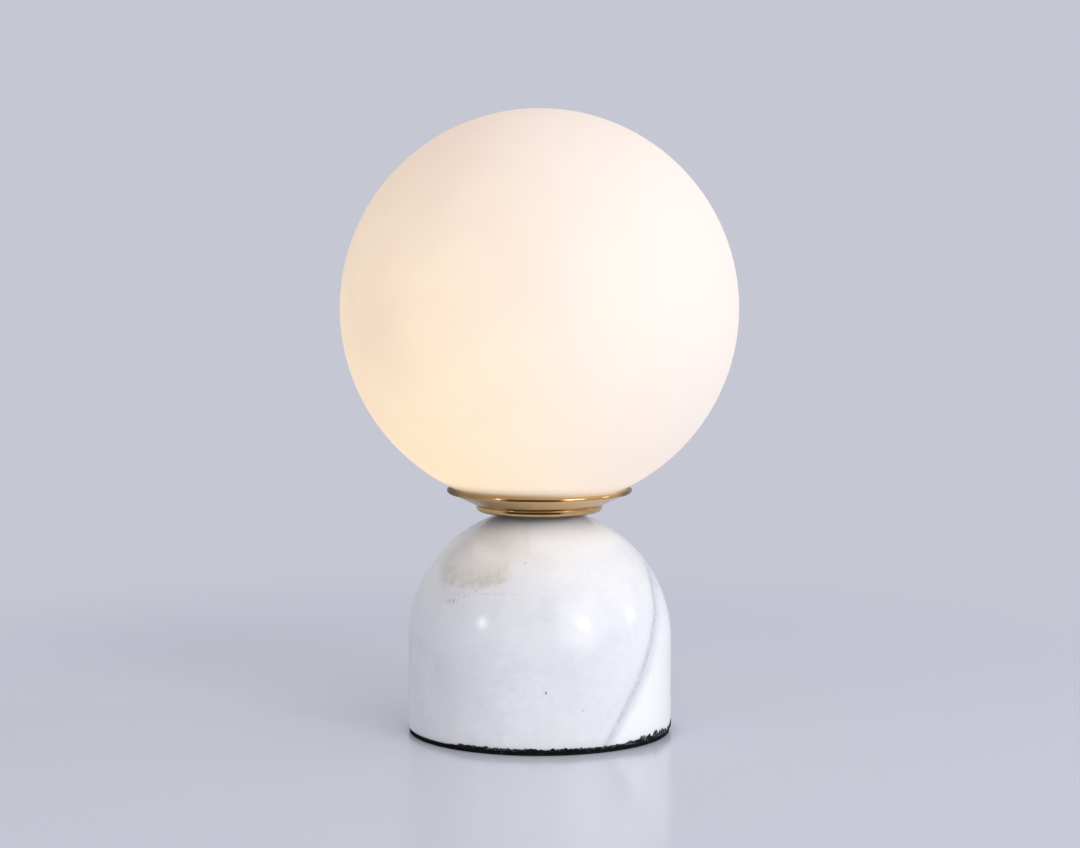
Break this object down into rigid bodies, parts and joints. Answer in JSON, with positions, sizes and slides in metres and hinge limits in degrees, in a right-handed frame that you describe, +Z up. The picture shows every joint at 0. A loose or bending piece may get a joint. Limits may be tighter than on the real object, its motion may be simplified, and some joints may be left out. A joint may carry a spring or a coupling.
{
  "type": "glass globe table lamp",
  "caption": "Small table lamp: an opal glass globe resting in a shallow metal dish on a stone dome, with a pin-base bulb inside.",
  "frame": {"origin": "centre of the foam foot's underside, on the lamp's axis", "axes": "+Z up along the lamp's axis, +Y towards the cord inlet at the back, front faces -Y"},
  "size_m": [0.15, 0.15, 0.2356],
  "materials": {
    "black_foam": "fine-celled black foam, matt",
    "white_marble": "satin-polished white marble with grey-blue veins and faint warm stains",
    "black_plastic": "moulded black plastic",
    "polished_brass": "polished and lacquered pale gold brass",
    "clear_silicone": "clear soft silicone",
    "opal_glass": "satin opal glass, lit from inside",
    "spring_steel": "blued spring strip, bright",
    "zinc_steel": "bright zinc-plated steel",
    "red_fibre": "vulcanised fibre",
    "white_ceramic": "unglazed white steatite",
    "contact_metal": "nickel-plated copper alloy",
    "brown_lead": "silicone-insulated lead, brown",
    "blue_lead": "silicone-insulated lead, blue",
    "clear_cover": "clear polycarbonate",
    "white_board": "white solder mask",
    "yellow_chips": "phosphor, lit",
    "pale_nylon": "natural nylon",
    "plain_brass": "turned brass"
  },
  "bodies": {
    "lamp": {"base_pad": "black_foam", "stone_base": "white_marble", "inlet_bush": "black_plastic", "seat_disc": "polished_brass", "globe_dish": "polished_brass", "globe_gasket": "clear_silicone", "globe_spring": "spring_steel", "threaded_rod": "zinc_steel", "top_nut": "zinc_steel", "tooth_washer": "zinc_steel", "fibre_washer": "red_fibre", "steel_washer": "zinc_steel", "split_washer": "zinc_steel", "base_nut": "zinc_steel", "holder_bracket": "zinc_steel", "lampholder": "white_ceramic", "holder_screws": "zinc_steel", "contact_left": "contact_metal", "contact_right": "contact_metal", "lead_left": "brown_lead", "lead_right": "blue_lead", "terminal_block": "pale_nylon", "terminal_sleeves": "plain_brass", "terminal_screws": "zinc_steel"},
    "globe": {"glass_globe": "opal_glass"},
    "bulb": {"bulb_base": "white_ceramic", "bulb_pins": "contact_metal", "bulb_cover": "clear_cover", "led_board": "white_board", "led_chips": "yellow_chips"}
  },
  "joints": [
    {"name": "globe_lift", "type": "slide", "parent": "lamp", "child": "globe", "axis": [0, 0, 1], "range_m": [0, 0.095], "deforming": ["globe_spring"]},
    {"name": "bulb_pull", "type": "slide", "parent": "lamp", "child": "bulb", "axis": [0, 0, 1], "range_m": [0, 0.03]}
  ]
}
